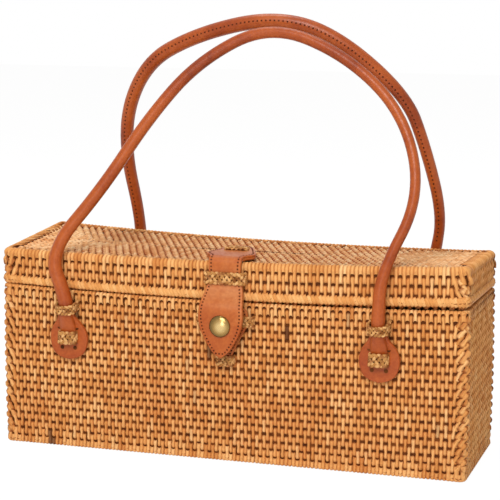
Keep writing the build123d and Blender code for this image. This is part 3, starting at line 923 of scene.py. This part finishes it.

# %% [markdown]
# ## Plaited bands
# Rings, lashings and the keeper of the strap are all flat plaits of five strands. In a plait each strand
# swings from side to side while it dips under and rises over the others, four times as fast, a fifth of a
# turn behind its neighbour. The tree below lays five such strands along any path, over a dark ribbon that is
# painted shade for the gaps, and paints shade on each strand where it passes under the others.

# %% Build the tree of the plait
def make_plait():
    """Five flat strands that swing and cross along a path."""
    tree, given = new_tree("plait", "GeometryNodeTree", (
        ("Geometry", "Path"), ("Material", "Material", "Heart"), ("Vector", "Lateral"),
        ("Length", "Pitch", "Reach", "Lift", "Strand Width", "Strand Thickness"),
    ))
    fine = resample(given["Path"], given["Pitch"] / 28.0)
    along = add(tree, "GeometryNodeSplineParameter")["Length"]
    outward = add(tree, "GeometryNodeInputTangent").of("CROSS_PRODUCT", given["Lateral"]).of("NORMALIZE")
    turns = along / given["Pitch"] * math.tau
    circle = add(tree, "GeometryNodeCurvePrimitiveCircle", {"Resolution": 8, "Radius": 0.5})

    def shifted(offset):
        """The path, shifted and with its normals outward."""
        moved = add(tree, "GeometryNodeSetPosition", {"Geometry": fine, "Offset": offset})
        return add(tree, "GeometryNodeSetCurveNormal", {"Curve": moved, "Normal": outward}, mode="FREE")

    def join(parts):
        """Several geometries as one."""
        whole = add(tree, "GeometryNodeJoinGeometry")
        for part in parts:
            tree.links.new(part.socket, whole.node.inputs[0])
        return whole

    def ribbon(curve, thickness, width):
        """A flat tube along a curve."""
        section = add(tree, "ShaderNodeCombineXYZ", {0: thickness, 1: width, 2: 1.0})
        profile = add(tree, "GeometryNodeTransform", {"Geometry": circle, "Scale": section})
        values = {"Curve": curve, "Profile Curve": profile, "Fill Caps": True}
        return add(tree, "GeometryNodeCurveToMesh", values)

    strands = []
    for number in range(5):
        phase = turns + math.tau * number / 5
        swing = phase.of("SINE")
        dip = (phase * 4.0).of("SINE")
        one = shifted(given["Lateral"] * (swing * given["Reach"]) + outward * (dip * given["Lift"]))
        tint = spread((phase * 0.37 + 2.1 * number).of("SINE"), -1.0, 1.0, 0.1, 0.95)
        # Painted shade: a strand darkens where it passes under the others and at the sides of its swing.
        under_shade = abs(swing).of("MAXIMUM", dip * -1.0) * 0.95
        strands.append(store(store(one, "tint", tint), "along", under_shade))
    tube = ribbon(join(strands), given["Strand Thickness"], given["Strand Width"])
    # Painted shade: a dark ribbon under the strands stands in for the shadow in the gaps between them.
    heart = ribbon(shifted(outward * (given["Lift"] * -1.4)), given["Lift"], given["Reach"] * 2.1)
    inner = realize(join((tube, heart)), given["Heart"], smooth=True)
    tinted = add(tree, "GeometryNodeInputNamedAttribute", {"Name": "tint"}, data_type="FLOAT")
    values = {"Geometry": inner, "Selection": tinted > 0.05, "Material": given["Material"]}
    return end_tree(tree, {"Geometry": add(tree, "GeometryNodeSetMaterial", values)})


plait = make_plait()
print("plait nodes", len(plait.nodes))

# %% Helpers for plaited bands
sideways = np.array((1.0, 0.0, 0.0))
front = np.array((0.0, -1.0, 0.0))
upward = np.array((0.0, 0.0, 1.0))
seat_y = half_depth + 0.3


def bridge(origin, outward, span, rise, sink=1.5, bend=2.2):
    """The points of a band that comes up from its seat, crosses over sideways and goes back down."""
    bend = min(bend, 0.8 * (rise + sink), 0.4 * span)
    run = [(-span / 2, -sink)]
    for angle in np.linspace(0, math.pi / 2, 7):
        run.append((-span / 2 + bend * (1 - math.cos(angle)), rise - bend * (1 - math.sin(angle))))
    run += [(-across, height) for across, height in reversed(run)]
    return [np.array(origin) + sideways * across + outward * height for across, height in run]


def plaited(name, points, lateral, pitch, reach, lift=0.45, strand=1.7, thickness=1.0, closed=False):
    """A plaited band along points."""
    return make_piece(
        name, plait, path_object(points, closed), Material=plait_straw, Heart=coil_core,
        Lateral=tuple(float(v) for v in lateral), Pitch=pitch, Reach=reach, Lift=lift, Strand_Width=strand,
        Strand_Thickness=thickness,
    )


def lash(name, body, node, origin, outward, span, rise, width, sink=1.5, bend=2.2):
    """A plaited band over something that lies on a seat."""
    strand = width * 0.22
    points = bridge(origin, outward, span, rise, sink, bend)
    lateral = np.cross(outward, sideways)
    thing = plaited(
        name, points, lateral, pitch=width * 1.9, reach=(width - strand) / 2, lift=0.5, strand=strand,
        thickness=1.1,
    )
    dress(thing, body, "braid", node)


print("bands sit at", round(seat_y, 1))

# %% [markdown]
# ## Leather that follows a path
# The strap and the tabs are cut leaves of leather in two layers. Each is swept: a section with rounded edges
# and a fine groove between its layers is carried along a path, and scaled to the leaf's width at every
# station. A NURBS spline through a few points gives each path its even bends.

# %% Helpers for swept leather
def smooth_run(points, order=3):
    """Points along a NURBS spline over a few control points."""
    data = bpy.data.curves.new("route", "CURVE")
    data.dimensions = "3D"
    data.resolution_u = 10
    spline = data.splines.new("NURBS")
    spline.points.add(len(points) - 1)
    for place, point in zip(spline.points, points):
        place.co = (*point, 1)
    spline.order_u = order
    spline.use_endpoint_u = True
    thing = add_object("route", data)
    mesh = bpy.data.meshes.new_from_object(thing.evaluated_get(bpy.context.evaluated_depsgraph_get()))
    run = np.array([vertex.co for vertex in mesh.vertices], float)
    bpy.data.objects.remove(thing)
    bpy.data.meshes.remove(mesh)
    return run


def even(run, spacing):
    """The same run with points at even distances, and those distances."""
    reach = distances(run)
    marks = np.linspace(0, reach[-1], max(int(reach[-1] / spacing), 2) + 1)
    return np.stack([np.interp(marks, reach, run[:, axis]) for axis in range(3)], axis=1), marks


def unit(arrows):
    """Arrows of length one."""
    return arrows / np.linalg.norm(arrows, axis=1)[:, None]


def leaf_widths(run, marks, knots, start_round, end_round):
    """Half widths along a run from (place, half width) knots, with rounded ends."""
    nearest = [np.argmin(np.linalg.norm(run - np.array(place), axis=1)) for place, _ in knots]
    stations = sorted((marks[near], width) for near, (_, width) in zip(nearest, knots))
    widths = np.interp(marks, *zip(*stations))
    padded = np.concatenate((np.full(3, widths[0]), widths, np.full(3, widths[-1])))
    widths = np.convolve(padded, np.ones(7) / 7, "valid")
    for distance, reach in ((marks, start_round), (marks[-1] - marks, end_round)):
        near = np.clip(distance / reach, 0, 1)
        widths = widths * np.sqrt(np.clip(1 - (1 - near) ** 2, 0, 1))
    return np.maximum(widths, 0.25)


def leaf_section(width, thick):
    """The section of a two layer leaf, as a closed loop of (across, up)."""
    half = thick / 2
    rounding = ((-0.4, 1.0), (-0.08, 0.78), (0.0, 0.5), (-0.06, 0.16))
    edge = (*rounding, (-0.4, 0.0), *((inset, -up) for inset, up in reversed(rounding)))
    ease = min(1.0, width / 1.4)
    right = [(width + inset * ease, up * half) for inset, up in edge]
    inner = width - ease
    shares = (-1, -0.6, -0.25, 0.25, 0.6, 1)
    over = [(inner * share, half * (1 + 0.06 * (1 - share * share))) for share in shares]
    under = [(inner * share, -half) for share in (1, 0.5, 0, -0.5, -1)]
    return over + right + under + [(-across, up) for across, up in reversed(right)]


def swept_leaf(name, run, widths, thick, material):
    """A closed leaf of leather along a run."""
    inward = unit(np.cross(sideways, unit(np.gradient(run, axis=0))))
    rings = []
    for place, up, width in zip(run, inward, widths):
        section = leaf_section(width, thick)
        rings.append([place + sideways * across + up * height for across, height in section])
    return loft(name, rings, material)


print("points in a leaf's section", len(leaf_section(10, 2.5)))

# %% [markdown]
# ## Waxed thread
# Each seam is a line of short stitches that are sunk into the leather. They repeat at even distances along a
# path, so a small Geometry Nodes tree lays them, turned by a direction stored on the path.

# %% Build the tree of the thread
def make_thread_line():
    """Short sunk stitches at even distances along a path that knows which way it faces."""
    tree, given = new_tree("thread_line", "GeometryNodeTree", (
        ("Geometry", "Path"), ("Object", "Stitch"), ("Material", "Material"),
        ("Length", "Spacing", "Length", "Width", "Height"),
    ))
    spaced = resample(given["Path"], given["Spacing"])
    facing = add(tree, "GeometryNodeInputNamedAttribute", {"Name": "facing"}, data_type="FLOAT_VECTOR")
    axes = {0: facing, 1: add(tree, "GeometryNodeInputTangent")}
    turned = add(tree, "FunctionNodeAxesToRotation", axes, primary_axis="Z", secondary_axis="Y")
    stitch = add(tree, "GeometryNodeObjectInfo", {"Object": given["Stitch"]})["Geometry"]
    size = add(tree, "ShaderNodeCombineXYZ", {0: given["Width"], 1: given["Length"], 2: given["Height"]})
    values = {"Points": spaced, "Instance": stitch, "Rotation": turned, "Scale": size}
    laid = add(tree, "GeometryNodeInstanceOnPoints", values)
    return end_tree(tree, {"Geometry": realize(laid, given["Material"])})


def sew(points, facing, spacing=2.3, length=1.35, height=0.3, closed=False):
    """A line of waxed thread along points."""
    return make_piece(
        "thread", thread_line, path_object(points, closed, facing=facing), Stitch=plain_stitch,
        Material=waxed_thread, Spacing=spacing, Length=length, Width=1.1, Height=height,
    )


def joined(name, pieces):
    """One mesh from several pieces."""
    build = bmesh.new()
    materials = []
    for piece in pieces:
        first = len(build.faces)
        build.from_mesh(piece.data)
        build.faces.ensure_lookup_table()
        for face in build.faces[first:]:
            material = piece.data.materials[face.material_index]
            if material not in materials:
                materials.append(material)
            face.material_index = materials.index(material)
    mesh = bpy.data.meshes.new(name)
    build.to_mesh(mesh)
    build.free()
    for material in materials:
        mesh.materials.append(material)
    for piece in pieces:
        bpy.data.objects.remove(piece)
    return add_object(name, mesh)


thread_line = make_thread_line()
print("thread_line nodes", len(thread_line.nodes))

# %% [markdown]
# ## The closing strap
# The strap starts as a leaf on the lid, narrows over the edge, passes under the keeper and swells again into
# the tongue that carries the snap. It is one length of leather over two bodies. A line of waxed thread holds
# its two layers together near both edges. The tab under it, which carries the stud, is cut and sewn in the
# same way.

# %% Cut and stitch the strap
def sewn_leaf(name, run, widths, thick, inset, lift):
    """A leaf of strap leather with thread just inside one edge and back along the other."""
    leaf = swept_leaf("leaf", run, widths, thick, strap_leather)
    kept = slice(3, -3)
    facing = unit(np.cross(np.gradient(run, axis=0), sideways))[kept]
    middle = run[kept] + facing * lift
    reach = sideways * np.maximum(widths - inset, 0)[kept, None]
    path = np.concatenate((middle + reach, (middle - reach)[::-1]))
    thread = sew(path, np.concatenate((facing, facing[::-1])), closed=True)
    return joined(name, (leaf, thread))


strap_route = (
    (-11, 138.9), (-28, 138.4), (-43, 138.1), (-50.7, 137.9), (-50.9, 131), (-50.9, 124), (-51.1, 118.5),
    (-56, 111.5), (-60.1, 106.5), (-60.1, 98), (-60.1, 84), (-60.1, 73.6),
)
strap_knots = (
    (-11, 138.9, 6.8), (-24, 138.5, 12.5), (-38.5, 138.2, 17.4), (-40.5, 138.2, 17.4), (-45, 138.0, 11.6),
    (-50.9, 131, 11.0), (-50.9, 124, 11.2), (-52, 117, 12.8), (-58, 109, 14.6), (-60.1, 101, 15.5),
    (-60.1, 92, 13.9), (-60.1, 82, 8.6), (-60.1, 76, 4.0), (-60.1, 73.6, 2.6),
)
run, marks = even(smooth_run([(0, y, z) for y, z in strap_route]), spacing=1)
knots = [((0, y, z), width) for y, z, width in strap_knots]
widths = leaf_widths(run, marks, knots, start_round=6, end_round=4.5)
closing_strap = sewn_leaf("closing_strap", run, widths, thick=3.2, inset=2.0, lift=1.62)
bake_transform(closing_strap)
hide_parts("strap_head", "strap_tongue")
print("strap length", round(marks[-1], 1))

# %% Cut the stud tab
stud_knots = ((107, 13.2), (103, 15.6), (97, 16.6), (88, 12.4), (78, 7.0), (70, 3.6))
run, marks = even(np.array([(0, -seat_y - 1.3, 107), (0, -seat_y - 1.3, 70)]), spacing=1.02)
knots = [((0, -seat_y, z), width) for z, width in stud_knots]
widths = leaf_widths(run, marks, knots, start_round=3, end_round=3.5)
stud_tab = sewn_leaf("stud_tab_leather", run, widths, thick=2.5, inset=1.8, lift=1.27)
dress(stud_tab, "basket", "strap_leather", "stud_tab")

# %% Plait the bands of the strap and the stud tab
lash("keeper_plait", "lid", "strap_keeper", (0, -seat_y, 125.3), front, span=27.4, rise=4.4, width=8.8)
lash("head_plait", "lid", "head_band", (0, -25, 136.6), upward, span=16, rise=4.6, width=8)
small_plaits = []
for x, z, span in ((-14.4, 97, 9.6), (14.4, 97, 9.6), (0, 70, 11.4)):
    points = bridge((x, -seat_y, z), front, span, rise=3.7)
    small_plaits.append(plaited("small_plait", points, upward, pitch=14, reach=2.9))
dress(joined("stud_tab_plaits", small_plaits), "basket", "braid", "stud_tab_bands")

# %% [markdown]
# ## Handles and their tabs
# Each handle is one long roll of leather. It rises from its tab through a plaited ring, arches over the bag
# and comes down on the other side; its cut edge is sewn up along the inside of the arch. The roll is a tube
# along a NURBS route, thinner where it flattens into the tabs.

# %% Build the tree of the roll
def make_leather_roll():
    """A tube along a route that thins toward both ends."""
    tree, given = new_tree("leather_roll", "GeometryNodeTree", (
        ("Geometry", "Route"), ("Material", "Material"),
        ("Length", "Radius", "End Reach"), ("Float", "End Scale"),
    ))
    fine = resample(given["Route"], 2 * MM)
    along = add(tree, "GeometryNodeSplineParameter")["Length"]
    from_end = along.of("MINIMUM", add(tree, "GeometryNodeCurveLength", {"Curve": fine}) - along)
    stout = add(tree, "GeometryNodeInputNamedAttribute", {"Name": "stout"}, data_type="FLOAT")
    circle = add(tree, "GeometryNodeCurvePrimitiveCircle", {"Resolution": 20, "Radius": given["Radius"]})
    tube = add(tree, "GeometryNodeCurveToMesh", {
        "Curve": fine, "Profile Curve": circle, "Fill Caps": True,
        "Scale": spread(from_end, 0.0, given["End Reach"], given["End Scale"], 1.0) * stout,
    })
    return end_tree(tree, {"Geometry": realize(tube, given["Material"], smooth=True)})


leather_roll = make_leather_roll()
print("leather_roll nodes", len(leather_roll.nodes))

# %% Roll the handles
handle_reach = 108
handle_shift = 3.5
arch_height = 180
pivot_z = 106
neck_out = 6.8
handle_y = seat_y + neck_out
roll_radius = 4.5
lean_from = 0.19
lean_reach = 54
press_from = 97
press_reach = 13
seam_lift = 4.48
seam_skip = 34
foot_route = ((2.6, 75), (3.6, 80), (6.6, 88), (neck_out, 97), (neck_out, pivot_z))
front_shares = (
    (-1.11, 0.17), (-0.79, 0.41), (-0.53, 0.67), (-0.24, 0.88), (0.20, 1.02), (0.70, 0.91), (1.08, 0.71),
    (1.22, 0.43), (1.01, 0.16),
)
back_shares = (
    (-0.94, 0.16), (-1.02, 0.57), (-0.81, 0.85), (-0.43, 0.97), (0.07, 1.04), (0.46, 0.99), (0.91, 0.76),
    (1.02, 0.56), (1.11, 0.30), (1.06, 0.13),
)
front_stout = (1.2, 0.96, 0.93, 0.88, 0.84, 0.8, 0.76, 0.77, 1.2)
back_stout = (1.1, 0.92, 1.04, 1.12, 1.12, 1.04, 0.9, 0.82, 1.1)


def handle_route(side, shift, shares):
    """The route of a handle from one tab, over the arch and down to the other."""
    feet = []
    for way in (-1, 1):
        feet.append([(shift + way * handle_reach, side * (seat_y + out), z) for out, z in foot_route])
    arch = []
    for along, height in shares:
        lean = max(0, height - lean_from) * lean_reach
        arch.append((shift + along * handle_reach, side * (handle_y - lean), pivot_z + height * arch_height))
    return feet[0] + arch + feet[1][::-1]


def roll_handle(name, side, shift, shares, stout_shares, body):
    """A rolled handle with its sewn seam."""
    run, marks = even(smooth_run(handle_route(side, shift, shares)), spacing=2)
    stout = np.interp(marks / marks[-1], np.linspace(0, 1, len(stout_shares)), stout_shares)
    roll = make_piece(
        name, leather_roll, path_object(run, stout=stout), Material=handle_leather, Radius=roll_radius,
        End_Reach=32, End_Scale=0.72,
    )

    def press(x, y, z):
        """Press the ends of the roll flat on the tabs: the lower, the wider and shallower."""
        low = np.clip((press_from - z) / press_reach, 0, 1)
        low *= low * (3 - 2 * low)
        middle = shift + np.sign(x - shift) * handle_reach
        x += (x - middle) * 0.4 * low
        y -= (y - side * seat_y) * 0.3 * low

    move_points(roll, press)
    tangent = unit(np.gradient(run, axis=0))
    inner = np.array((0.0, -side, 0.12)) + np.zeros_like(run)
    inner = unit(inner - tangent * np.sum(inner * tangent, axis=1)[:, None])
    sewn = slice(seam_skip, -seam_skip)
    path = run + inner * (seam_lift * stout)[:, None]
    seam = sew(path[sewn], inner[sewn], spacing=3, length=1.5, height=0.25)
    handle = joined(name, (roll, seam))
    pivot_y = side * handle_y * MM
    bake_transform(handle)
    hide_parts(body)
    print(name, "length", round(marks[-1]))


roll_handle("front_roll", -1, -handle_shift, front_shares, front_stout, "front_handle")
roll_handle("back_roll", 1, handle_shift, back_shares, back_stout, "back_handle")

# %% Cut the tabs and plait their rings and lashings
def paint_hole_shade(places, radius, side, steps=12):
    """Dark round discs on a face turned to the front or the back: painted shade where the tab has holes."""
    angles = [math.tau * step / steps for step in range(steps)]
    points = []
    for x, y, z in places:
        points += [(x + radius * math.cos(a), y, z - side * radius * math.sin(a)) for a in angles]
    holes = new_mesh("holes", points, faces=np.arange(len(points)).reshape(-1, steps).tolist())
    holes.data.materials.append(coil_core)
    return holes


tab_route = ((6.8, 100), (5.6, 94), (2.8, 88), (1.4, 82), (1.35, 74), (1.35, 62.8))
tab_knots = ((100, 4.4), (94, 6.2), (90, 9.0), (85, 12.0), (79, 13.7), (73, 13.2), (67, 10.6), (62.8, 7.4))
hole_spots = [(way * x, out, z) for way in (-1, 1) for x, out, z in ((6.4, 3.4, 85), (4.7, 2.75, 71))]
tab_places = (("front_left", -1, -1), ("front_right", -1, 1), ("back_left", 1, -1), ("back_right", 1, 1))
ring_z = 100.6
band_z = 78.4
for name, side, way in tab_places:
    x = way * handle_reach + side * handle_shift
    out = np.array((0.0, side, 0.0))
    down_out = np.array((0.0, side, -0.2)) / math.hypot(1, 0.2)
    run, marks = even(smooth_run([(x, side * (seat_y + v), z) for v, z in tab_route]), spacing=1)
    knots = [((x, side * seat_y, z), width) for z, width in tab_knots]
    widths = leaf_widths(run, marks, knots, start_round=1, end_round=5)
    leaf = swept_leaf("leaf", run, widths, thick=2.5, material=handle_leather)
    spots = [(x + across, side * (seat_y + v), z) for across, v, z in hole_spots]
    # Painted shade: dark discs stand in for the shade inside the tab's holes.
    holes = paint_hole_shade(spots, radius=1.4, side=side)
    dress(joined(f"{name}_tab_leaf", (leaf, holes)), "basket", "handle_leather", f"{name}_tab")
    neck = (x, side * seat_y, ring_z)
    toe = (x, side * seat_y, band_z)
    lash(
        f"{name}_ring_plait", "basket", f"{name}_neck_ring", neck, down_out, span=12.6, rise=12.4, width=7.2,
        sink=0.5, bend=4.6,
    )
    lash(f"{name}_tab_plait", "basket", f"{name}_tab_band", toe, out, span=11.8, rise=7.4, width=9.4)

# %% [markdown]
# ## The snap
# A domed brass cap shows on the strap; behind it a socket takes the stud on the tab. All three are turned
# parts, so each is a profile spun about the snap's axis.

# %% Turn the snap
def turned(name, profile, seat_at, body, node, steps=40):
    """A closed body turned about the snap's axis, from (radius, outward) pairs that start and end on it."""
    rings = []
    for radius, out in profile:
        angles = [math.tau * step / steps for step in range(steps if radius else 1)]
        rings.append([(radius * math.cos(a), seat_at - out, snap_z + radius * math.sin(a)) for a in angles])
    dress(loft(name, rings, brass), body, "brass", node)


def dome(radius, height, edge=0.4, count=14):
    """The profile of a cap: a small rolled edge that runs on into the dome."""
    angles = [math.pi / 2 * step / count for step in range(count)]
    crown = [(radius * math.cos(a), edge + (height - edge) * math.sin(a)) for a in angles]
    return [(0, 0), (radius - edge, 0), *crown, (0, height)]


socket_ring = (
    (0, 1.4), (2.9, 1.4), (3.3, 1.8), (3.5, 2.2), (5.0, 2.2), (5.5, 1.9), (5.5, 0.3), (5.2, 0), (0, 0),
)
stud_post = (
    (0, 0), (1.6, 0), (1.6, 2.5), (5.0, 2.5), (5.0, 3.1), (4.6, 3.3), (2.4, 3.4), (2.4, 5.2),
    (3.0, 5.6), (3.0, 6.1), (2.5, 6.6), (0, 6.7),
)
turned("snap_cap_dome", dome(radius=7.25, height=3.2), size_of("strap_tongue")[0].y, "strap", "snap_cap")
turned("snap_socket_ring", socket_ring, size_of("snap_socket")[1].y, "strap", "snap_socket")
turned("snap_stud_post", stud_post, size_of("snap_stud")[1].y, "basket", "snap_stud")

# %% [markdown]
# ## The hinge
# At the back the lid hangs on two plaited loops that pass through both rims. The loops are round about the
# hinge line, so the lid can turn on them.

# %% Plait the hinge loops
hinge = sum(size_of("hinge_bands"), Vector()) / 2
loop_radius = 8
loop_x = 70
loops = []
for x in (-loop_x, loop_x):
    angles = np.linspace(0, math.tau, 40, endpoint=False)
    ring = [(x, hinge.y + loop_radius * math.cos(a), hinge.z + loop_radius * math.sin(a)) for a in angles]
    loops.append(plaited("loop", ring, sideways, pitch=math.tau * loop_radius / 4, reach=2.6, closed=True))
dress(joined("hinge_loops", loops), "basket", "braid", "hinge_bands")

# %% [markdown]
# ## Clear up and finish
# The unit stitches have done their work and go.

# %% Finish
for helper in (long_stitch, plain_stitch, wrap_stitch):
    bpy.data.objects.remove(helper)
